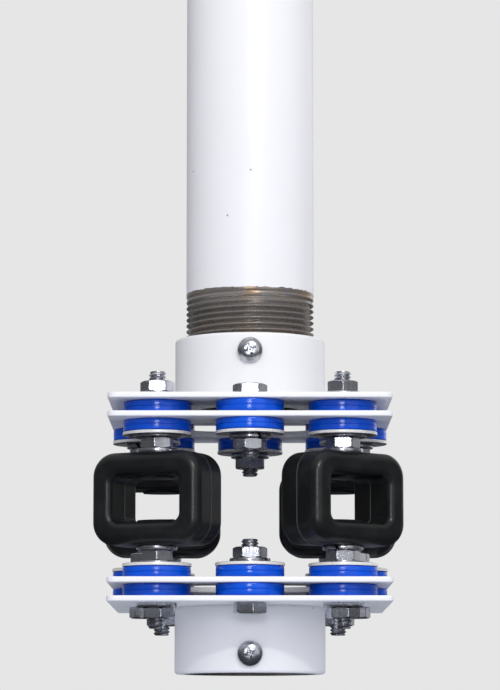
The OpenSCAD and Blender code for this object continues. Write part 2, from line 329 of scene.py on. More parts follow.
def new_group(kind, name, build, inputs, result, result_type):
    """Make a group of nodes: its inputs, each with a value or a type, and one result."""
    tree = bpy.data.node_groups.new(name, kind)
    for key, value in inputs.items():
        typed = isinstance(value, str)
        socket_type = "NodeSocket" + (value if typed else SOCKETS[type(value)])
        socket = tree.interface.new_socket(words(key), in_out="INPUT", socket_type=socket_type)
        if not typed:
            socket.default_value = value
    tree.interface.new_socket(result, in_out="OUTPUT", socket_type="NodeSocket" + result_type)
    given = tree.nodes.new("NodeGroupInput").outputs
    fill(tree, tree.nodes.new("NodeGroupOutput"), {result: build(tree, given)})
    return tree


print("node helpers are ready")

# %% [markdown]
# ## Effects that several finishes share
#
# Four small groups make the detail. *Grain* is the fine unevenness of a
# surface. *Patches* is a soft mask for grime and handling. *Specks* is a
# mask of scattered dots. *Lines* is grain drawn out in one direction, as
# turning, rolling and wiping leave it. Each material places them with its own
# sizes, in metres on the object.


# %% Shader groups
def noise(tree, given, place, detail, roughness):
    """Noise with features of the given cell's size."""
    return add_node(tree, "ShaderNodeTexNoise", {
        "Vector": place, "Scale": calc(tree, "DIVIDE", 1.0, given["Cell"]), "Detail": detail,
        "Roughness": roughness})


def grain(tree, given):
    return noise(tree, given, given["Vector"], 2.0, given["Roughness"])


def patches(tree, given):
    edge = calc(tree, "SUBTRACT", 1.0, given["Share"])
    return ranged(tree, noise(tree, given, given["Vector"], 5.0, 0.6), 0.0, 1.0,
                  calc(tree, "SUBTRACT", edge, given["Softness"]),
                  calc(tree, "ADD", edge, given["Softness"]), "SMOOTHSTEP")


def specks(tree, given):
    dots = add_node(tree, "ShaderNodeTexVoronoi", {
        "Vector": given["Vector"], "Scale": calc(tree, "DIVIDE", 1.0, given["Cell"])}).outputs
    red = add_node(tree, "ShaderNodeSeparateColor", {"Color": dots["Color"]})
    return times(tree, calc(tree, "LESS_THAN", dots["Distance"], given["Size"]),
                 calc(tree, "LESS_THAN", red, given["Share"]))


def lines(tree, given):
    long = vector_calc(tree, "DIVIDE", given["Vector"], given["Drawn Out"])
    return noise(tree, given, long, 3.0, 0.7)


def shader_group(name, build, result, **sizes):
    """A group that makes one number from a place and some sizes."""
    return new_group("ShaderNodeTree", name, build, {"vector": "Vector", **sizes}, result, "Float")


GROUPS = {group.name: group for group in (
    shader_group("grain", grain, "Height", cell=0.001, roughness=0.5),
    shader_group("patches", patches, "Mask", cell=0.02, share=0.4, softness=0.15),
    shader_group("specks", specks, "Mask", cell=0.006, size=0.06, share=0.3),
    shader_group("lines", lines, "Height", drawn_out=(1.0, 1.0, 8.0), cell=0.001))}
print("shader groups:", ", ".join(GROUPS))


# %% Material helpers
def start_material(name):
    """Begin a material: its tree, its shader and the Object coordinates."""
    material = bpy.data.materials.new(name)
    material.use_nodes = True
    tree = material.node_tree
    place = add_node(tree, "ShaderNodeTexCoord").outputs["Object"]
    return material, tree, tree.nodes["Principled BSDF"], place


def use(tree, kind, place, **sizes):
    """Place a shared group with its sizes."""
    inputs = {"Vector": place, **{words(key): value for key, value in sizes.items()}}
    return add_node(tree, "ShaderNodeGroup", inputs, node_tree=GROUPS[kind])


def mixed(tree, mask, under, over, share=None):
    """Blend two colours by a mask, or by a share of it."""
    mask = mask if share is None else times(tree, mask, share)
    return add_node(tree, "ShaderNodeMix", {"Factor": mask, 6: under, 7: over},
                    data_type="RGBA").outputs[2]


def blended(tree, mask, under, over):
    """Blend two numbers by a mask."""
    return add_node(tree, "ShaderNodeMix", {"Factor": mask, "A": under, "B": over})


def bump(tree, height, distance, under=None):
    """Turn a height into a normal; the distance is the relief in metres."""
    inputs = {"Height": height, "Distance": distance}
    if under is not None:
        inputs["Normal"] = under
    return add_node(tree, "ShaderNodeBump", inputs)


def marked(tree, attribute):
    """Read a number that the mesh carries."""
    return add_node(tree, "ShaderNodeAttribute", attribute_name=attribute).outputs["Fac"]


def plug(tree, shader, **sockets):
    """Link or set the shader's own sockets, named in plain words."""
    fill(tree, shader, {words(key): value for key, value in sockets.items()})


print("material helpers are ready")

# %% [markdown]
# ## White powder coat
#
# The column, the couplings and the plates are steel under a glossy white
# powder coat. Powder melts into a skin that is never quite flat, the orange
# peel, which breaks up reflections. A little grime and a few dark specks sit
# on it. Where a thread is cut, the steel is bare: dark grey, oily and stained
# brown, most of all just under the paint. One material carries both, and a
# mask parts them. On the column the mask is a height, a little ragged as the
# masked edge of sprayed powder is. In the couplings it is the distance from
# the axis.

# %% Powder coat and bare steel
COAT, COAT_GRIME = (0.80, 0.80, 0.82), (0.60, 0.585, 0.55)
SPECK = (0.10, 0.085, 0.07)
STEEL, STEEL_STAIN, OIL = (0.36, 0.34, 0.32), (0.33, 0.20, 0.10), (0.14, 0.13, 0.12)
BARE_TOP, BARE_RADIUS, RAGGED = 143.2 * MM, 24.6 * MM, 1.4 * MM
STAIN_TURN, STAIN_LOW, STAIN_HIGH = math.radians(-22.5), 5.5 * MM, 1.5 * MM


def bare_mask(tree, place, where):
    """1 on bare steel and 0 on paint."""
    spot = parts(tree, place)
    if where == "below":
        wave = use(tree, "grain", place, cell=0.0032, roughness=0.65)
        shift = times(tree, calc(tree, "SUBTRACT", wave, 0.5), RAGGED)
        return calc(tree, "LESS_THAN", calc(tree, "ADD", spot["Z"], shift), BARE_TOP)
    reach = vector_calc(tree, "LENGTH", vector(tree, x=spot["X"], y=spot["Y"]))
    return calc(tree, "LESS_THAN", reach, BARE_RADIUS)


def powder_coat(name, bare=None):
    material, tree, shader, place = start_material(name)
    grime = use(tree, "patches", place, cell=0.03, share=0.36, softness=0.2)
    dots = use(tree, "specks", place, cell=0.011, size=0.035, share=0.35)
    peel = use(tree, "grain", place, cell=0.0011)
    colour = mixed(tree, grime, COAT, COAT_GRIME, 0.10)
    colour = mixed(tree, dots, colour, SPECK, 0.75)
    roughness = ranged(tree, grime, 0.36, 0.46)
    normal = bump(tree, peel, 0.000035)
    metallic = 0.0
    if bare:
        mask = bare_mask(tree, place, bare)
        to_front = add_node(tree, "ShaderNodeMapping", {
            "Vector": place, "Rotation": (0, 0, STAIN_TURN)})
        stain = use(tree, "patches", to_front, cell=0.016, share=0.44, softness=0.12)
        turned = use(tree, "lines", place, drawn_out=(6.0, 6.0, 1.0), cell=0.0009)
        near_coat = ranged(tree, parts(tree, place)["Z"], 0.45, 0.95, BARE_TOP - STAIN_LOW,
                           BARE_TOP - STAIN_HIGH)
        steel = mixed(tree, stain, STEEL, STEEL_STAIN, near_coat)
        colour = mixed(tree, mask, colour, mixed(tree, turned, steel, OIL, 0.35))
        metallic = times(tree, mask, ranged(tree, stain, 0.66, 0.5))
        roughness = blended(tree, mask, roughness, ranged(tree, turned, 0.15, 0.40))
        normal = add_node(tree, "ShaderNodeMix", {
            "Factor": mask, 4: normal, 5: bump(tree, turned, 0.00005)},
            data_type="VECTOR").outputs[1]
    plug(tree, shader, base_color=colour, metallic=metallic, roughness=roughness, normal=normal)
    return material


PLATE_COAT = powder_coat("white_powder_coat")
COLUMN_COAT = powder_coat("white_coat_over_bare_thread", bare="below")
COUPLING_COAT = powder_coat("white_coat_round_bare_bore", bare="inside")
print("coats:", PLATE_COAT.name, COLUMN_COAT.name, COUPLING_COAT.name)

# %% [markdown]
# ## Blue elastomer, black rubber and zinc plate
#
# The bushings and rings are moulded in a glossy, saturated blue, with faint
# level marks from the mould. The isolators are black rubber with a satin skin
# and a dusting of grey, with a painted highlight along the mould's ridge. The
# fasteners are steel with a bright zinc plate, mottled and slightly blue, with
# fine lines from cold forming. The wide washers' sheared rims are whiter and
# duller. The ridge and the rims are marked on the meshes, and the materials read that.

# %% Rubbers and zinc
BLUE, BLUE_DEEP = (0.001, 0.095, 0.68), (0.001, 0.035, 0.42)
RUBBER, RUBBER_DUST = (0.0060, 0.0066, 0.0066), (0.050, 0.052, 0.048)
# Painted highlight: the paler colour put along the isolators' mould ridge.
RIDGE_HIGHLIGHT = (0.085, 0.088, 0.09)
ZINC, ZINC_DULL, ZINC_WHITE = (0.62, 0.63, 0.67), (0.34, 0.35, 0.39), (0.80, 0.79, 0.76)


def blue_elastomer():
    material, tree, shader, place = start_material("blue_elastomer")
    clouds = use(tree, "patches", place, cell=0.012, share=0.45, softness=0.25)
    marks = use(tree, "lines", place, drawn_out=(14.0, 14.0, 1.0), cell=0.0007)
    skin = use(tree, "grain", place, cell=0.0006)
    colour = mixed(tree, clouds, BLUE, BLUE_DEEP, 0.35)
    colour = mixed(tree, marks, colour, BLUE_DEEP, 0.25)
    normal = bump(tree, marks, 0.00003, bump(tree, skin, 0.000012))
    plug(tree, shader, base_color=colour, roughness=ranged(tree, clouds, 0.15, 0.24), normal=normal)
    return material


def black_rubber():
    material, tree, shader, place = start_material("black_rubber")
    dust = use(tree, "patches", place, cell=0.009, share=0.40, softness=0.22)
    dots = use(tree, "specks", place, cell=0.003, size=0.06, share=0.22)
    skin = use(tree, "grain", place, cell=0.0005)
    flow = use(tree, "lines", place, drawn_out=(1.0, 5.0, 1.0), cell=0.003)
    colour = mixed(tree, dust, RUBBER, RUBBER_DUST, 0.16)
    colour = mixed(tree, dots, colour, RUBBER_DUST, 0.35)
    # The mould's ridge is painted paler, a painted highlight where the ridge catches the light.
    colour = mixed(tree, marked(tree, "ridge"), colour, RIDGE_HIGHLIGHT, 0.8)
    normal = bump(tree, flow, 0.00006, bump(tree, skin, 0.00002))
    plug(tree, shader, base_color=colour, roughness=ranged(tree, dust, 0.31, 0.43), normal=normal)
    return material


def zinc_plate():
    material, tree, shader, place = start_material("zinc_steel")
    mottle = use(tree, "patches", place, cell=0.004, share=0.42, softness=0.2)
    marks = use(tree, "lines", place, drawn_out=(1.0, 1.0, 7.0), cell=0.0007)
    sheared = marked(tree, "sheared")
    colour = mixed(tree, mottle, ZINC, ZINC_DULL, 0.55)
    plug(tree, shader, base_color=mixed(tree, sheared, colour, ZINC_WHITE),
         roughness=ranged(tree, times(tree, mottle, marks), 0.24, 0.50),
         metallic=ranged(tree, sheared, 1.0, 0.15), normal=bump(tree, marks, 0.00005))
    return material


BLUE_RUBBER, BLACK_RUBBER, ZINC_STEEL = blue_elastomer(), black_rubber(), zinc_plate()
print("finishes:", BLUE_RUBBER.name, BLACK_RUBBER.name, ZINC_STEEL.name)

# %% [markdown]
# ## Threads, by rule
#
# A screw thread is a ridge that climbs one pitch in each turn. A grid of
# points could be shaped in Python, but the rule is the same for the column's
# pipe thread, the couplings' inner threads and the studs' fine ones, so one
# Geometry Nodes tree cuts them all. It takes a plain turned piece with enough
# rows, and moves each point of the threaded wall in or out by where it is on
# the climb. The two sides of a joint then fit, because both follow the rule
# in the same place.

# %% Tree that cuts a thread
ON_WALL = 0.02 * MM
CREST, ROOT = 0.10, 0.92  # shares of half a pitch where flats begin


def geometry_tree(name, build, **sizes):
    """Make a Geometry Nodes tree with named sizes.

    At its end copies are made real, because an export drops instances, and dressed.
    """
    def dressed(tree, given):
        whole = add_node(tree, "GeometryNodeRealizeInstances", {"Geometry": build(tree, given)})
        return add_node(tree, "GeometryNodeSetMaterial", {
            "Geometry": whole, "Material": given["Material"]})

    return new_group("GeometryNodeTree", name, dressed,
                     {"geometry": "Geometry", **sizes, "material": "Material"},
                     "Geometry", "Geometry")


def cut_thread(tree, given):
    spot = parts(tree, add_node(tree, "GeometryNodeInputPosition"))
    level = vector(tree, x=spot["X"], y=spot["Y"])
    turn = calc(tree, "DIVIDE", calc(tree, "ARCTAN2", spot["Y"], spot["X"]), 2 * math.pi)
    climb = calc(tree, "SUBTRACT", calc(tree, "DIVIDE", spot["Z"], given["Pitch"]), turn)
    climb = calc(tree, "FRACT", calc(tree, "SUBTRACT", climb, given["Start Turn"]))
    slope = calc(tree, "ABSOLUTE", calc(tree, "SUBTRACT", times(tree, climb, 2.0), 1.0))
    root = ranged(tree, slope, 0.0, 1.0, CREST, ROOT)
    begin = ranged(tree, spot["Z"], 0.0, 1.0, given["Begins"],
                   calc(tree, "ADD", given["Begins"], given["Lead In"]))
    end = ranged(tree, spot["Z"], 1.0, 0.0,
                 calc(tree, "SUBTRACT", given["Ends"], given["Run Out"]), given["Ends"])
    deep = times(tree, times(tree, root, begin), end)
    cut = ranged(tree, deep, given["At Crest"], given["At Root"])
    off_wall = calc(tree, "SUBTRACT", vector_calc(tree, "LENGTH", level), given["Wall Radius"])
    on_wall = calc(tree, "LESS_THAN", calc(tree, "ABSOLUTE", off_wall), ON_WALL)
    shift = add_node(tree, "ShaderNodeVectorMath", {
        0: vector_calc(tree, "NORMALIZE", level), "Scale": times(tree, cut, on_wall)},
        operation="SCALE")
    return add_node(tree, "GeometryNodeSetPosition", {
        "Geometry": given["Geometry"], "Offset": shift})


def run_tree(name, tree, mesh, **values):
    """Run a Geometry Nodes tree on a mesh and give back a plain mesh."""
    holder = linked("holder", mesh)
    modifier = holder.modifiers.new("tree", "NODES")
    modifier.node_group = tree
    for item in tree.interface.items_tree:
        key = item.name.replace(" ", "_").lower()
        if item.in_out == "INPUT" and key in values:
            modifier[item.identifier] = values[key]
    made = made_plain(holder, modifier)
    made.name = name
    return made


THREAD = geometry_tree(
    "screw thread", cut_thread, wall_radius=0.01, at_crest=0.0, at_root=-0.001, pitch=0.002,
    begins=0.0, ends=0.01, lead_in=0.001, run_out=0.003, start_turn=0.0)
print("thread tree:", len(THREAD.nodes), "nodes")

# %% [markdown]
# ## The column
#
# It is 1 1/2 inch pipe: a plain tube, threaded at its lower end and sprayed
# white above a masked line. The tube is turned in one piece with many rows
# where the thread will be, then the tree cuts the thread. Its grooves grow
# shallow at the top, as a die leaves them.

# %% Column
COLUMN_BORE = 20.45 * MM
THREAD_ROWS, THREAD_START, PIPE_STEPS = 16, 0.385, 144
LEAD_IN, RUN_OUT, THREAD_END = 0.4 * MM, 7.5 * MM, BARE_TOP - 0.6 * MM
TIP, CUT_EDGE, BROKEN_EDGE = 0.9 * MM, 0.46 * MM, 0.13 * MM


def rows_between(low, high, step):
    count = int(math.ceil((high - low) / step))
    return [low + (high - low) * k / count for k in range(count + 1)]


def column_mesh():
    section = [(COLUMN_BORE, COLUMN_LOW), (COLUMN_R - THREAD_DEPTH - CUT_EDGE, COLUMN_LOW),
               (COLUMN_R - THREAD_DEPTH, COLUMN_LOW + CUT_EDGE)]
    section += [(COLUMN_R, z) for z in
                rows_between(COLUMN_LOW + TIP, BARE_TOP, THREAD_PITCH / THREAD_ROWS)]
    section += [(COLUMN_R, COLUMN_TOP - CUT_EDGE),
                (COLUMN_R - BROKEN_EDGE, COLUMN_TOP - BROKEN_EDGE),
                (COLUMN_R - CUT_EDGE, COLUMN_TOP), (COLUMN_BORE, COLUMN_TOP)]
    return run_tree(
        "support_column", THREAD, lathe("column", section, PIPE_STEPS), wall_radius=COLUMN_R,
        at_crest=0.0, at_root=-THREAD_DEPTH, pitch=THREAD_PITCH, begins=COLUMN_LOW,
        ends=THREAD_END, lead_in=LEAD_IN, run_out=RUN_OUT, start_turn=THREAD_START,
        material=COLUMN_COAT)


column = add_piece("threaded_column", shade(column_mesh(), 60), COLUMN_COAT,
                   "white_powder_coat", "support_column")
print("column:", len(column.data.polygons), "faces")

# %% [markdown]
# ## The couplings
#
# Each is a short steel socket with a rounded rim, threaded inside, and welded
# to its plate in the notch under a rounded foot. The socket is turned, its
# inner wall gets the same thread as the column, and the upper one is the
# lower one turned over. The weld is a row of overlapping drops, so a second
# tree lays one small drop again and again round the foot.

# %% Couplings
BORE_R = COLUMN_R - THREAD_DEPTH + 0.05 * MM
RIM, FOOT, MOUTH = 1.2 * MM, 1.4 * MM, 0.8 * MM
WELD_DROPS, WELD_R, WELD_IN, WELD_DOWN = 150, 0.58 * MM, 0.6 * MM, 0.05 * MM


def socket_mesh():
    outside = rounded([(BORE_R + MOUTH, 0, 0), (COUPLING_R, 0, RIM),
                       (COUPLING_R, PLATE_LOW, FOOT), (BORE_R, PLATE_LOW, 0)], 8)
    inside = [(BORE_R, z) for z in rows_between(MOUTH, PLATE_LOW, THREAD_PITCH / THREAD_ROWS)]
    return lathe("socket", outside[:-1] + inside[::-1], PIPE_STEPS)


def threaded_socket(name, mesh):
    """Cut the whole inner wall, with no lead-in or run-out inside it."""
    heights = [v.co.z for v in mesh.vertices]
    return run_tree(name, THREAD, mesh, wall_radius=BORE_R, at_crest=THREAD_DEPTH, at_root=0.0,
                    pitch=THREAD_PITCH, begins=min(heights) - 1.0, ends=max(heights) + 1.0,
                    lead_in=0.1, run_out=0.1, start_turn=THREAD_START, material=COUPLING_COAT)


def lay_drops(tree, given):
    ring = add_node(tree, "GeometryNodeMeshCircle", {
        "Vertices": given["Drops"], "Radius": given["Radius"]})
    raised = add_node(tree, "GeometryNodeSetPosition", {
        "Geometry": ring, "Offset": vector(tree, z=given["Height"])})
    drop = add_node(tree, "GeometryNodeMeshIcoSphere", {
        "Radius": given["Bead Radius"], "Subdivisions": 2})
    size = add_node(tree, "FunctionNodeRandomValue", {
        "Min": (0.92, 0.92, 0.92), "Max": (1.0, 1.0, 1.0), "Seed": given["Seed"]},
        data_type="FLOAT_VECTOR")
    return add_node(tree, "GeometryNodeInstanceOnPoints", {
        "Points": raised, "Instance": drop, "Scale": size})


WELD = geometry_tree("weld drops", lay_drops, radius=0.027, height=0.02, drops=150,
                     bead_radius=0.0006, seed=4)
bead = run_tree("bead", WELD, bpy.data.meshes.new("empty"), radius=COUPLING_R - WELD_IN,
                height=PLATE_LOW - WELD_DOWN, drops=WELD_DROPS, bead_radius=WELD_R, seed=4,
                material=COUPLING_COAT)
socket = socket_mesh()
for half, matrix in HALVES.items():
    body = shade(threaded_socket(half + "_socket", moved(socket, matrix)), 50)
    whole = joined(half + "_coupling", body, shade(moved(bead, matrix)))
    add_piece(half + "_welded_coupling", whole, COUPLING_COAT, "white_powder_coat",
              half + "_coupling")
print("couplings:", len(whole.polygons), "faces each, the weld", len(bead.polygons))

# %% [markdown]
# ## The plates
#
# Four square steel plates, cut with holes and sprayed. Powder draws back from
# a cut edge and rounds it, which gives each plate a soft bright rim. Offsets
# of the outline and of each hole are stacked up as loops, the walls are
# skinned between them, and the flats are filled with the holes left open. The
# flats are shaded flat, the rims smoothly.

# %% Plates
PLATE_CORNER, SOFT_EDGE = 3 * MM, 0.4 * MM
CABLE_R, NECK_HOLE_R, BOLT_HOLE_R = 20.5 * MM, 7.875 * MM, BOLT_R + 0.3 * MM
OPENING, OPENING_CORNER = 25 * MM, 12 * MM


def square_loop(half, corner, steps=10):
    points = []
    for k, (sx, sy) in enumerate(((1, 1), (-1, 1), (-1, -1), (1, -1))):
        for i in range(steps + 1):
            a = math.pi / 2 * (k + i / steps)
            points.append((sx * (half - corner) + corner * math.cos(a),
                           sy * (half - corner) + corner * math.sin(a)))
    return points


def round_hole(x, y, r, steps=48):
    """A round hole's outline, as a function of how far its edge is drawn back."""
    return lambda back: [(x + (r + back) * math.cos(2 * math.pi * i / steps),
                          y + (r + back) * math.sin(2 * math.pi * i / steps))
                         for i in range(steps)]


def plate_mesh(name, holes, low):
    levels = quarter(SOFT_EDGE, 4)
    levels += [(back, PLATE_T - z) for back, z in levels[::-1]]
    outline = [lambda back: square_loop(PLATE_SIDE / 2 - back, PLATE_CORNER - back)]
    work = bmesh.new()
    rims = ([], [])
    for edge in outline + holes:
        loops = [[work.verts.new((x, y, low + z)) for x, y in edge(back)] for back, z in levels]
        for below, above in zip(loops, loops[1:]):
            for i in range(len(below)):
                j = (i + 1) % len(below)
                work.faces.new((below[i], below[j], above[j], above[i])).smooth = True
        for rim, loop in zip(rims, (loops[0], loops[-1])):
            rim += [work.edges.get((loop[i], loop[(i + 1) % len(loop)])) for i in range(len(loop))]
    for rim in rims:
        bmesh.ops.triangle_fill(work, use_beauty=True, edges=rim)
    bmesh.ops.recalc_face_normals(work, faces=work.faces)
    mesh = bpy.data.meshes.new(name)
    work.to_mesh(mesh)
    work.free()
    return mesh


def at_spot(x, y):
    reach = SIDE_REACH if 0 in (x, y) else CORNER_REACH
    return x * reach, y * reach


bolt_holes = [round_hole(*at_spot(*s), BOLT_HOLE_R) for s in SPOTS.values()]
neck_holes = [round_hole(*at_spot(*s), NECK_HOLE_R) for s in SPOTS.values()]
outer = plate_mesh("outer", [round_hole(0, 0, CABLE_R)] + bolt_holes, PLATE_LOW)
inner = plate_mesh("inner", [lambda back: square_loop(OPENING + back, OPENING_CORNER + back)]
                   + neck_holes, INNER_LOW)
for half, matrix in HALVES.items():
    for kind, mesh in (("outer", outer), ("inner", inner)):
        add_piece(f"{half}_{kind}_coated_plate", moved(mesh, matrix), PLATE_COAT,
                  "white_powder_coat", f"{half}_{kind}_plate")
print("plates:", len(outer.polygons), "and", len(inner.polygons), "faces")

# %% [markdown]
# ## Bushings and rings
#
# The blue bushing is moulded with a flange and a neck. The flange parts the
# two plates, and the neck goes through the inner one into a ring on its other
# side. The moulds part at half height, so each rim is two faint bulges with a
# fine groove between them, which splits the highlight in two. Both are
# turned, with that rim as part of the section.

# %% Blue mounts
DISC_R = 12.5 * MM
BUSHING_BORE, NECK_R = 4.775 * MM, 7.775 * MM
BUSHING_H, RING_H = 4.8 * MM, 4.4 * MM
SWELL, SWELL_AT, DISC_EDGE = 0.09 * MM, 0.35, 0.75 * MM
GROOVE, GROOVE_LIP, GROOVE_FLOOR = 0.14 * MM, 0.12 * MM, 0.03 * MM


def moulded_rim(height):
    """The rim's section, upwards: a rounded edge, two swellings and a groove."""
    half = height / 2
    section = [(DISC_R - x, z) for x, z in quarter(DISC_EDGE, 5)[:-1]]
    for k in range(9):
        z = DISC_EDGE + (half - DISC_EDGE - GROOVE_LIP) * k / 8
        section.append((DISC_R - SWELL * ((z - DISC_EDGE) / half - SWELL_AT) ** 2 * 4, z))
    section.append((DISC_R - GROOVE - SWELL, half - GROOVE_FLOOR))
    return section + [(r, height - z) for r, z in section[::-1]]


def bushing_mesh():
    neck_top, edge = BUSHING_H + PLATE_T + RING_H - 0.5 * MM, 0.3 * MM
    return lathe("bushing", [(BUSHING_BORE, 0)] + moulded_rim(BUSHING_H) + [
        (NECK_R, BUSHING_H), (NECK_R, neck_top - edge), (NECK_R - edge, neck_top),
        (BUSHING_BORE, neck_top)])


def ring_mesh():
    bore, edge = NECK_R + 0.1 * MM, 0.2 * MM
    return lathe("ring", [(bore, edge), (bore + edge, 0)] + moulded_rim(RING_H) + [
        (bore + edge, RING_H), (bore, RING_H - edge)])


for kind, mesh, low in (("bushing", bushing_mesh(), PLATE_LOW + PLATE_T),
                        ("ring", ring_mesh(), RING_LOW)):
    shade(mesh, 40)
    for half, matrix in HALVES.items():
        for spot, (x, y) in SPOTS.items():
            place = (Matrix.Translation((*at_spot(x, y), 0)) @ matrix
                     @ Matrix.Translation((0, 0, low)))
            add_piece(f"{half}_{spot}_blue_{kind}", moved(mesh, place), BLUE_RUBBER,
                      "blue_elastomer", f"{half}_{kind}_{spot}")
    print(kind, len(mesh.polygons), "faces, 16 of them")

# %% [markdown]
# ## The isolators
#
# Each is a thick rubber loop with a hole right through, front to back, so it
# can flex. Its wall is rounded like a tyre's, more outside than in. A fine
# ridge runs round it where the mould parted, outside and in the hole, whose
# walls lean in towards it. A low pad inside covers each stud's head. The
# wall's section is swept round a rounded rectangle in Python, because the
# pads need each point's distance from the stud. Each isolator is turned on
# its stud differently, as the fitter left it.

# %% Isolators
ISO_W, ISO_H, ISO_DEPTH = 44.5 * MM, 34 * MM, 21.5 * MM
ISO_WALL, ISO_EDGE, ISO_LIP = 8.4 * MM, 3.6 * MM, 2.7 * MM
ISO_CORNER, ISO_HOLE_R = 8.7 * MM, 3.0 * MM
ISO_DRAFT, ISO_RIDGE, RIDGE_TOP, RIDGE_FOOT = 0.3 * MM, 0.13 * MM, 0.12 * MM, 0.3 * MM
PAD_R, PAD_H, PAD_SLOPE, SEAT_R = 7.8 * MM, 0.8 * MM, 0.8 * MM, 9 * MM
ISO_TURNS = {"front_right": 40, "rear_right": -5, "rear_left": 4, "front_left": -27}


def edge_section():
    """Front half of the outside's section: (from the corner's centre, along the hole)."""
    half = ISO_DEPTH / 2
    section = [(ISO_CORNER + ISO_RIDGE, 0), (ISO_CORNER + ISO_RIDGE * 0.7, RIDGE_TOP),
               (ISO_CORNER, RIDGE_FOOT)]
    section += [(ISO_CORNER, y) for y in np.linspace(0.6 * MM, half - ISO_EDGE, 7)[:-1]]
    return section + [(ISO_CORNER - z, half - x) for x, z in quarter(ISO_EDGE, 12)]


def lip_section():
    """Front half of the hole's section, from the face inwards."""
    half = ISO_DEPTH / 2
    section = [(ISO_HOLE_R + x, half - z) for x, z in quarter(ISO_LIP, 10)]
    section += [(ISO_HOLE_R - ISO_DRAFT * (1 - y / (half - ISO_LIP)), y)
                for y in np.linspace(half - ISO_LIP, 0.4 * MM, 27)[1:]]
    return section + [(ISO_HOLE_R - ISO_DRAFT, 0.2 * MM), (ISO_HOLE_R - ISO_DRAFT - ISO_RIDGE, 0)]


def loop_path(across, along):
    """Places round a loop as rows of (x, z, outwards x, outwards z)."""
    path = []
    corners = [(sx * across, sz * along) for sx, sz in ((1, 1), (-1, 1), (-1, -1), (1, -1))]
    for k, (x, z) in enumerate(corners):
        for a in np.linspace(0, math.pi / 2, 15) + k * math.pi / 2:
            path.append((x, z, math.cos(a), math.sin(a)))
        straight = 60 if k % 2 == 0 else 10
        nx, nz = math.cos((k + 1) * math.pi / 2), math.sin((k + 1) * math.pi / 2)
        end_x, end_z = corners[(k + 1) % 4]
        for t in np.linspace(0, 1, straight + 1)[1:-1]:
            path.append((x + (end_x - x) * t, z + (end_z - z) * t, nx, nz))
    return np.array(path)


def swept(path, section):
    """Lay a section at every place of a path: an array of rows of points."""
    section = np.array(section)
    points = np.empty((len(path), len(section), 3))
    points[..., 0] = path[:, None, 0] + path[:, None, 2] * section[None, :, 0]
    points[..., 1] = -section[None, :, 1]
    points[..., 2] = path[:, None, 1] + path[:, None, 3] * section[None, :, 0]
    return points


def isolator_mesh():
    outside = loop_path(ISO_W / 2 - ISO_CORNER, ISO_H / 2 - ISO_CORNER)
    hole = loop_path(ISO_W / 2 - ISO_WALL - ISO_HOLE_R, ISO_H / 2 - ISO_WALL - ISO_HOLE_R)
    inner = swept(hole, lip_section())
    far = np.hypot(inner[..., 0], inner[..., 1])
    rise = np.clip((PAD_R - far) / PAD_SLOPE, 0, 1)
    pad = rise * rise * (3 - 2 * rise) * PAD_H
    facing_stud = np.abs(hole[:, None, 3]) > 0.999
    inner[..., 2] -= np.sign(inner[..., 2]) * np.where(facing_stud, pad, 0)
    front = np.concatenate([swept(outside, edge_section()), inner], axis=1)
    seat = np.clip(front[..., 2], -ISO_H / 2, ISO_H / 2)
    over_seat = np.hypot(front[..., 0], front[..., 1]) < SEAT_R
    front[..., 2] = np.where(over_seat, seat, front[..., 2])
    back = front[:, 1:-1][:, ::-1] * (1, -1, 1)
    mesh = grid_mesh("isolator", np.concatenate([front, back], axis=1))
    # The ridge mark carries the painted highlight that the rubber's finish puts on it.
    mark(mesh, "ridge", [1.0 if abs(v.co.y) < 0.2 * MM else 0.0 for v in mesh.vertices])
    return mesh


isolator = shade(isolator_mesh(), 60)
for spot, turn in ISO_TURNS.items():
    place = (Matrix.Translation((*at_spot(*SPOTS[spot]), TOTAL_H / 2))
             @ Matrix.Rotation(math.radians(turn), 4, "Z"))
    add_piece(f"{spot}_rubber_isolator", moved(isolator, place), BLACK_RUBBER, "black_rubber",
              f"isolator_{spot}")
print("isolators:", len(isolator.polygons), "faces each")

# %% [markdown]
# ## Placing the fasteners
#
# The same nut sits in twenty-four places, a washer in sixteen. One tree does
# all of it: each point of a small carrier mesh says which spot, which height,
# which half and how far the piece is turned, and the tree puts a copy there.
# For the upper half it turns the piece over and counts its height down from
# the top. The copies are then made real, because an export drops instances.


# %% Tree that places fasteners
def put_fasteners(tree, given):
    spot = parts(tree, add_node(tree, "GeometryNodeInputPosition"))
    level, turn = (add_node(tree, "GeometryNodeInputNamedAttribute", {"Name": name},
                            data_type="FLOAT") for name in ("level", "turn"))
    corner = calc(tree, "ABSOLUTE", times(tree, spot["X"], spot["Y"]))
    reach = ranged(tree, corner, given["Side Reach"], given["Corner Reach"])
    over = calc(tree, "SUBTRACT", given["Total Height"], times(tree, spot["Z"], 2.0))
    place = vector(tree, x=times(tree, spot["X"], reach), y=times(tree, spot["Y"], reach),
                   z=calc(tree, "ADD", spot["Z"], times(tree, over, level)))
    carrier = add_node(tree, "GeometryNodeSetPosition", {
        "Geometry": given["Geometry"], "Position": place})
    piece = add_node(tree, "GeometryNodeObjectInfo", {"Object": given["Fastener"]})
    return add_node(tree, "GeometryNodeInstanceOnPoints", {
        "Points": carrier, "Instance": piece.outputs["Geometry"],
        "Rotation": vector(tree, y=times(tree, level, math.pi), z=turn)})


PLACING = geometry_tree("fasteners at their spots", put_fasteners, fastener="Object",
                        side_reach=0.039, corner_reach=0.034, total_height=0.1256)
NO_TURNS = ((0,) * 4, (0,) * 4)


def rows_at(spots, height, turns=NO_TURNS):
    """Rows of (x, y, height, level, turn) for both halves."""
    return [(x, y, height, level, math.radians(turns[level][i]))
            for level in (0, 1) for i, (x, y) in enumerate(spots)]


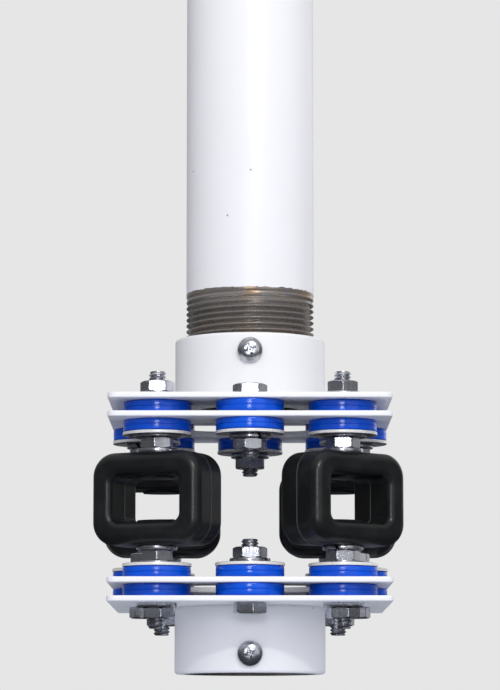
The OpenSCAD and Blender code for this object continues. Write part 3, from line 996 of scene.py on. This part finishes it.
def place_fasteners(name, fastener, rows, node):
    """Copy a fastener to every row and dress the result as one piece."""
    sample = linked("fastener", fastener)
    carrier = new_mesh("carrier", [row[:3] for row in rows], [])
    mark(carrier, "level", [row[3] for row in rows])
    mark(carrier, "turn", [row[4] for row in rows])
    mesh = run_tree(name, PLACING, carrier, fastener=sample, side_reach=SIDE_REACH,
                    corner_reach=CORNER_REACH, total_height=TOTAL_H, material=ZINC_STEEL)
    bpy.data.objects.remove(sample)
    for label in ("level", "turn"):
        if label in mesh.attributes:
            mesh.attributes.remove(mesh.attributes[label])
    add_piece(name, mesh, ZINC_STEEL, "zinc_steel", node)
    print(name, len(rows), "copies,", len(mesh.polygons), "faces in all")


print("placing tree:", len(PLACING.nodes), "nodes")

# %% [markdown]
# ## Hexagons, washers, bolts and studs
#
# A nut is a hexagon whose corners are turned down by a cone, which leaves a
# wavy arc along the top of each flat. The outline is worked out at many
# directions, each with its distance from the axis and so its own height on
# the cone, with the six corners softly rounded. Washers and shanks are
# turned, and the split washer is a bar bent nearly all the way round.

# %% Nuts and heads
HEX_CORNER, HEX_CONE = 0.55 * MM, math.tan(math.radians(27))
HEX_FACE, HEX_CHAMFER = HEX_AF / 2 * 0.965, 0.4 * MM
HEX_SOFT, HEX_EASE, HEX_LAND = 0.12 * MM, 0.82, 0.1 * MM


def hexagon_outline():
    """Directions and distances round a hexagon with rounded corners."""
    flat = HEX_AF / 2
    centre = (flat - HEX_CORNER) / math.cos(math.radians(30))
    tangent = math.atan((flat - HEX_CORNER) * math.tan(math.radians(30)) / flat)
    outline = []
    for k in range(6):
        middle = math.radians(30 + 60 * k)
        for a in np.linspace(-tangent, tangent, 9):
            outline.append((middle + a, flat / math.cos(a)))
        for a in np.linspace(tangent, math.radians(60) - tangent, 8)[1:-1]:
            off = a - math.radians(30)
            reach = centre * math.cos(off) + math.sqrt(
                HEX_CORNER ** 2 - (centre * math.sin(off)) ** 2)
            outline.append((middle + a, reach))
    return outline


def hexagon_mesh(name, height, bore):
    """A nut, or a bolt head where the bore is zero, standing on height zero."""
    rows = []
    chamfer = HEX_CHAMFER if bore else 0
    for direction, reach in hexagon_outline():
        drop = max(reach - HEX_FACE, 0) * HEX_CONE
        ring = [(bore, chamfer), (bore + chamfer, 0), (HEX_FACE, 0),
                (reach - HEX_SOFT, drop * HEX_EASE), (reach, drop + HEX_LAND)]
        ring += [(r, height - z) for r, z in ring[::-1]]
        rows.append([(r * math.cos(direction), r * math.sin(direction), z) for r, z in ring])
    return shade(grid_mesh(name, np.array(rows), bore > 0), 24)


print("a hexagon has", len(hexagon_outline()), "directions")

# %% Washers
LOCK_R, LOCK_GAP, LOCK_LEAN = 7.45 * MM, 1.2 * MM, math.tan(math.radians(35))
WASHER_BORE, WIDE_R, WIDE_T, FLAT_R = BOLT_R + 0.1 * MM, 12.7 * MM, 1.2 * MM, 8.75 * MM


def washer_mesh(name, radius, thick, soft, whitened):
    """A flat washer; soft rounds its sheared rim, whitened says how pale that is."""
    mesh = shade(lathe(name, rounded([
        (WASHER_BORE, 0, 0.12 * MM), (radius, 0, soft * 0.5), (radius, thick, soft),
        (WASHER_BORE, thick, 0.2 * MM)], 3), 80), 40)
    mark(mesh, "sheared", [whitened if math.hypot(v.co.x, v.co.y) > radius - 0.06 * MM else 0.0
                           for v in mesh.vertices])
    return mesh


def lock_washer_mesh():
    section = rounded([(WASHER_BORE, 0, 0.2 * MM), (LOCK_R, 0, 0.3 * MM),
                       (LOCK_R, LOCK_T, 0.3 * MM), (WASHER_BORE, LOCK_T, 0.2 * MM)], 3)
    points = []
    for t in np.linspace(0, 1, 81):
        for r, z in section:
            side = (LOCK_GAP / 2) / r
            lean = (z - LOCK_T / 2) * LOCK_LEAN / r
            a = side + t * (2 * math.pi - 2 * side) - lean
            points.append((r * math.cos(a), r * math.sin(a), z))
    count = len(section)
    faces = [(i + j, i + count + j, i + count + (j + 1) % count, i + (j + 1) % count)
             for i in range(0, len(points) - count, count) for j in range(count)]
    faces += [tuple(range(count)), tuple(range(len(points) - count, len(points)))]
    return shade(tidy(new_mesh("lock_washer", points, faces)), 40)


print("washers are ready")

# %% Shanks
SHANK_PITCH, SHANK_DEPTH, SHANK_BARE = 1.27 * MM, 0.62 * MM, 8.5 * MM
SHANK_TIP, SHANK_ENDS, SHANK_ROWS = 0.55 * MM, 0.3 * MM, 12


def shank_mesh(name, plain_to, tip):
    """A rod from height plain_to to its tip, threaded near the tip; heights may fall."""
    low, high = sorted((plain_to, tip))
    point, shoulder = BOLT_R - SHANK_TIP * 1.3, BOLT_R - SHANK_TIP * 1.1
    if tip < plain_to:
        start, stop = low, low + SHANK_BARE
        rows = rows_between(start + SHANK_TIP, stop, SHANK_PITCH / SHANK_ROWS)
        section = [(point, low), (shoulder, low + 0.02 * MM)]
        section += [(BOLT_R, z) for z in rows] + [(BOLT_R, high)]
    else:
        start, stop = high - SHANK_BARE, high
        rows = rows_between(start, stop - SHANK_TIP, SHANK_PITCH / SHANK_ROWS)
        section = [(BOLT_R, low)] + [(BOLT_R, z) for z in rows]
        section += [(shoulder, high - 0.02 * MM), (point, high)]
    rod = lathe(name, [(0, low)] + section + [(0, high)], 40, closed=False)
    return shade(run_tree(
        name, THREAD, rod, wall_radius=BOLT_R, at_crest=0.0, at_root=-SHANK_DEPTH,
        pitch=SHANK_PITCH, begins=start, ends=stop, lead_in=SHANK_ENDS, run_out=SHANK_ENDS,
        material=ZINC_STEEL), 70)


print("thread left on a shank, mm:", SHANK_BARE / MM)

# %% Fasteners in place
HEAD_TURNS = ((-19, 12, 27, -8), (0, -14, 22, 9))
TIE_NUT_TURNS = ((3, 19, -11, 25), (12, -7, 28, 16))
INNER_NUT_TURNS = ((6, -17, 11, 30), (0, 24, -9, 21))
OUTER_NUT_TURNS = ((-14, 8, 26, -14), (30, -6, 17, 0))
TIE_SPLITS = ((-37, 64, 151, 230), (118, 205, -20, 66))
INNER_SPLITS = ((-110, 15, 92, 170), (48, 133, 240, 301))
OUTER_SPLITS = ((75, 162, 251, 340), (206, 22, 97, 280))
ISO_LOW = TOTAL_H / 2 - ISO_H / 2
HEAD_H, BOLT_OUT, STUD_OUT = 4.2 * MM, 2.9 * MM, 3.6 * MM
STUD_HEAD_R, STUD_HEAD_LOW, STUD_HEAD_TOP = 7 * MM, ISO_LOW + 3 * MM, ISO_LOW + 5.2 * MM

nut = hexagon_mesh("nut", NUT_H, BOLT_R + 0.05 * MM)
place_fasteners("quarter_inch_nuts", nut, (
    rows_at(SIDES, NUT_LOW + LOCK_T, TIE_NUT_TURNS)
    + rows_at(CORNERS, NUT_LOW + FLAT_T, INNER_NUT_TURNS)
    + rows_at(CORNERS, PLATE_LOW - LOCK_T - NUT_H, OUTER_NUT_TURNS)), "hex_nuts")
place_fasteners("split_washers", lock_washer_mesh(), (
    rows_at(SIDES, NUT_LOW, TIE_SPLITS) + rows_at(CORNERS, ISO_LOW - LOCK_T, INNER_SPLITS)
    + rows_at(CORNERS, PLATE_LOW - LOCK_T, OUTER_SPLITS)), "lock_washers")
wide = washer_mesh("wide_washer", WIDE_R, WIDE_T, 0.3 * MM, 1.0)
place_fasteners("wide_washers", wide, rows_at(SIDES, FENDER_LOW) + rows_at(CORNERS, FENDER_LOW),
                "fender_washers")
flat = washer_mesh("flat_washer", FLAT_R, FLAT_T, 0.2 * MM, 0.1)
place_fasteners("flat_washers", flat, rows_at(CORNERS, NUT_LOW), "stud_washers")

head = moved(hexagon_mesh("head", HEAD_H, 0), Matrix.Translation((0, 0, PLATE_LOW - HEAD_H)))
bolt_tip = NUT_LOW + LOCK_T + NUT_H + BOLT_OUT
bolt = joined("bolt", head, shank_mesh("shank", PLATE_LOW, bolt_tip))
place_fasteners("hex_tie_bolts", bolt, rows_at(SIDES, 0, HEAD_TURNS), "tie_bolts")

stud_tip = PLATE_LOW - LOCK_T - NUT_H - STUD_OUT
stud_head = shade(lathe("stud_head", rounded([
    (0, STUD_HEAD_LOW, 0), (STUD_HEAD_R, STUD_HEAD_LOW, 0.3 * MM),
    (STUD_HEAD_R, STUD_HEAD_TOP, 0.3 * MM), (0, STUD_HEAD_TOP, 0)], 3), 48, closed=False))
stud = joined("stud", stud_head, shank_mesh("stud_shank", STUD_HEAD_LOW, stud_tip))
place_fasteners("moulded_studs", stud, rows_at(CORNERS, 0), "isolator_studs")

# %% [markdown]
# ## The set screws
#
# One pan-headed screw with a cross recess locks the pipe in each coupling.
# The head is turned, and the recess is cut with a Boolean modifier, because a
# tapering cross in a dome has no simple grid. The cutter is two tapering
# blades and a cone, as the punch is.

# %% Set screws
SCREW_R, SCREW_H, SCREW_UP = 4.75 * MM, 3.0 * MM, 6.9 * MM
RIM_H, SHANK_R, SHANK_IN = 0.7 * MM, 2.4 * MM, 5.9 * MM
DOME_FLAT, DOME_POWER, CROSS_TURN = 0.30, 0.9, 20


def blade_mesh():
    """A wedge, wide and long at the head's top and small at its deep end."""
    corners = []
    for long, wide, z in ((5.0, 1.15, SCREW_H + 0.1 * MM), (1.5, 0.8, SCREW_H - 1.9 * MM)):
        corners += [(sx * long * MM / 2, sy * wide * MM / 2, z)
                    for sx, sy in ((-1, -1), (1, -1), (1, 1), (-1, 1))]
    return tidy(new_mesh("blade", corners, [
        (0, 1, 2, 3), (7, 6, 5, 4), (0, 4, 5, 1), (1, 5, 6, 2), (2, 6, 7, 3), (3, 7, 4, 0)]))


def cut_out(mesh, cutter):
    """Subtract one closed mesh from another."""
    body, tool = linked("body", mesh), linked("tool", cutter)
    modifier = body.modifiers.new("cut", "BOOLEAN")
    modifier.operation, modifier.solver, modifier.object = "DIFFERENCE", "EXACT", tool
    made = made_plain(body, modifier)
    bpy.data.objects.remove(tool)
    return made


def screw_mesh():
    section = [(0, -SHANK_IN), (SHANK_R, -SHANK_IN), (SHANK_R, 0), (SCREW_R - 0.1 * MM, 0),
               (SCREW_R, 0.15 * MM), (SCREW_R, RIM_H)]
    for a in np.linspace(0, math.pi / 2, 12)[1:]:
        section.append((SCREW_R * (DOME_FLAT + (1 - DOME_FLAT) * math.cos(a)),
                        RIM_H + (SCREW_H - RIM_H) * math.sin(a) ** DOME_POWER))
    screw = lathe("screw", section + [(0, SCREW_H)], 72, closed=False)
    for turn in (0, 90):
        blade = moved(blade_mesh(), Matrix.Rotation(math.radians(turn + CROSS_TURN), 4, "Z"))
        screw = cut_out(screw, blade)
    cone = lathe("cone", [(0, SCREW_H + 0.1 * MM), (1.35 * MM, SCREW_H + 0.1 * MM),
                          (0.5 * MM, SCREW_H - 2.0 * MM), (0, SCREW_H - 2.3 * MM)],
                 24, closed=False)
    return shade(cut_out(screw, cone), 35)


screw = screw_mesh()
seat = (Matrix.Translation((0, -COUPLING_R - 0.05 * MM, SCREW_UP))
        @ Matrix.Rotation(math.pi / 2, 4, "X"))
for half, matrix in HALVES.items():
    add_piece(half + "_cross_screw", moved(screw, matrix @ seat), ZINC_STEEL, "zinc_steel",
              half + "_set_screw")
print("set screws:", len(screw.polygons), "faces each")

# %% [markdown]
# ## Sleeves
#
# The steel sleeves inside the bushings show at no edge, and their solid shape
# is right, so the solid node stays and only gets the plated finish.

# %% Finish for the kept node
sleeves = bpy.data.objects["bushing_sleeves"]
sleeves.data.materials.clear()
sleeves.data.materials.append(ZINC_STEEL)
print("solid node kept:", sleeves.name)

# %% [markdown]
# ## Stage and light
#
# The object hangs over a floor that the camera sees plain and pale; for the
# light it bounces, it is painted brighter and bluish near the object. A small
# lamp beside the camera, like a flash, gives the highlight down the middle of
# every round piece. A narrow window lamp, higher and a little to the right,
# throws the plate's shadow as an arch over the lower coupling, and the narrower
# it is, the sharper the arch.
# Weak lamps overhead and behind keep the far sides readable.
#
# The surroundings differ by ray. Diffuse light comes mostly from the front, so
# round white pieces darken to their sides. Mirrored rays see a dark room with
# a lit wall round the window and a pale ceiling, which gives bright metal its
# light and dark facets. The camera itself sees a plain pale background.

# %% Floor
FLOOR_LEVEL, FLOOR_REACH = -0.13, 3.0

floor_mesh = new_mesh("floor", [
    (x * FLOOR_REACH, y * FLOOR_REACH, FLOOR_LEVEL)
    for x, y in ((-1, -1), (1, -1), (1, 1), (-1, 1))], [(0, 1, 2, 3)])
floor = linked("floor", floor_mesh)
paint, tree, shader, place = start_material("floor_paint")
pale = mixed(tree, use(tree, "grain", place, cell=0.02), (0.77, 0.77, 0.77), (0.81, 0.81, 0.81))
rays = add_node(tree, "ShaderNodeLightPath").outputs
# Painted pool of bounce light: for diffuse rays only, the floor is brighter and bluish near the
# object and grey further off; mirrored rays see it nearly black.
far_off = ranged(tree, vector_calc(tree, "LENGTH", place), 0.0, 1.0, 0.25, 0.6)
painted_bounce_pool = mixed(tree, far_off, (0.80, 0.85, 0.97), (0.36, 0.36, 0.37))
unseen = mixed(tree, rays["Is Glossy Ray"], painted_bounce_pool, (0.05, 0.053, 0.06))
plug(tree, shader, base_color=mixed(tree, rays["Is Camera Ray"], unseen, pale), roughness=0.8,
     specular_ior_level=0.0)
floor_mesh.materials.append(paint)
print("floor at", FLOOR_LEVEL, "m")

# %% Lamps
AIM = Vector((0, 0, 0.08))


def add_lamp(name, at, width, height, power, colour, spread=180):
    data = bpy.data.lights.new(name, "AREA")
    data.shape, data.size, data.size_y = "RECTANGLE", width, height
    data.energy, data.color, data.spread = power, colour, math.radians(spread)
    lamp = linked(name, data)
    lamp.location = at
    lamp.rotation_euler = (AIM - Vector(at)).to_track_quat("-Z", "Y").to_euler()
    print(name, power, "W")


add_lamp("front_lamp", (-0.03, -1.25, 0.24), 0.22, 0.22, 0.84, (0.96, 0.98, 1.05), 120)
add_lamp("window_lamp", (0.30, -1.42, 0.95), 0.24, 0.08, 2.50, (1.03, 1.0, 0.96), 120)
add_lamp("overhead_lamp", (-0.1, 0.2, 1.4), 0.8, 0.8, 2.0, (1.0, 1.0, 1.0))
add_lamp("back_lamp", (0.8, 1.2, 0.5), 0.7, 0.7, 1.0, (1.0, 1.0, 1.0))

# %% Surroundings
BACKGROUND, LEAN = 0.79, 0.3
WINDOW_WAY = (0.553, -0.82, 0.15)

world = bpy.data.worlds.new("studio")
bpy.context.scene.world = world
world.use_nodes = True
sky = world.node_tree
sky.nodes.clear()
rays = add_node(sky, "ShaderNodeLightPath").outputs
seen = calc(sky, "MAXIMUM", rays["Is Camera Ray"], rays["Is Transmission Ray"])
way = add_node(sky, "ShaderNodeTexCoord").outputs["Generated"]
along = parts(sky, way)
# Each level runs from its first number to its second while the way runs between the last two.
side = times(sky, along["X"], LEAN)
room = ranged(sky, calc(sky, "SUBTRACT", along["Y"], side), 1.29, 0.17, -1.0, 0.95, "SMOOTHSTEP")
ceiling = ranged(sky, along["Z"], 0.10, 0.45, 0.1, 0.8, "SMOOTHSTEP")
beside = ranged(sky, calc(sky, "ADD", along["Y"], side), 0.0, 0.45, 0.1, 1.1, "SMOOTHSTEP")
lit_wall = ranged(sky, vector_calc(sky, "DOT_PRODUCT", way, WINDOW_WAY), 0.0, 0.75, 0.90, 0.985,
                  "SMOOTHSTEP")
mirrored = calc(sky, "MAXIMUM", calc(sky, "MAXIMUM", ceiling, beside), lit_wall)
around = blended(sky, rays["Is Glossy Ray"], room, mirrored)
light = add_node(sky, "ShaderNodeBackground", {
    "Strength": blended(sky, seen, around, BACKGROUND),
    "Color": mixed(sky, seen, (0.98, 0.99, 1.03), (1.0, 1.0, 1.0))})
add_node(sky, "ShaderNodeOutputWorld", {"Surface": light})
bpy.context.scene.view_settings.view_transform = "Standard"
print("background level", BACKGROUND)
